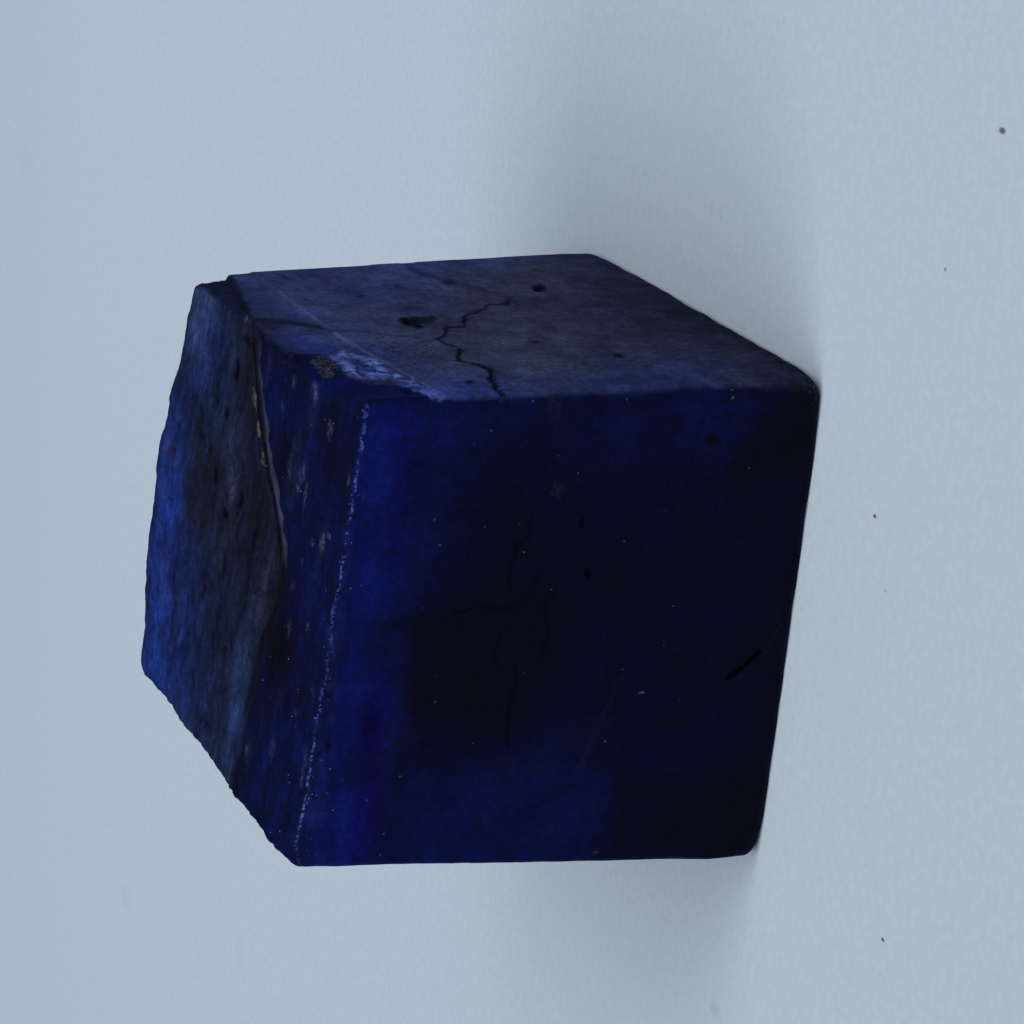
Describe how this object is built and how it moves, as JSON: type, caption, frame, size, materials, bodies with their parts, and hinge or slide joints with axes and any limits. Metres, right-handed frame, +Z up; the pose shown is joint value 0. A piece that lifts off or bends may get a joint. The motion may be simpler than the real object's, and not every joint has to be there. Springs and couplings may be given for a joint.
{
  "type": "rough tanzanite",
  "caption": "Rough blue-violet tanzanite: a small sawn block with a split, stepped top, worn edges, pits and a crack.",
  "frame": {"origin": "Middle of the base, on the surface the stone rests on.", "axes": "+Z is up, from the sawn base to the split top. -Y is the smooth sawn face and +X the matt sawn face with the crack and the pits, so X runs along the smooth face."},
  "size_m": [0.0322, 0.0348, 0.032],
  "materials": {
    "tanzanite": "satin"
  },
  "bodies": {
    "root": {"rough_tanzanite": "tanzanite"}
  },
  "joints": []
}
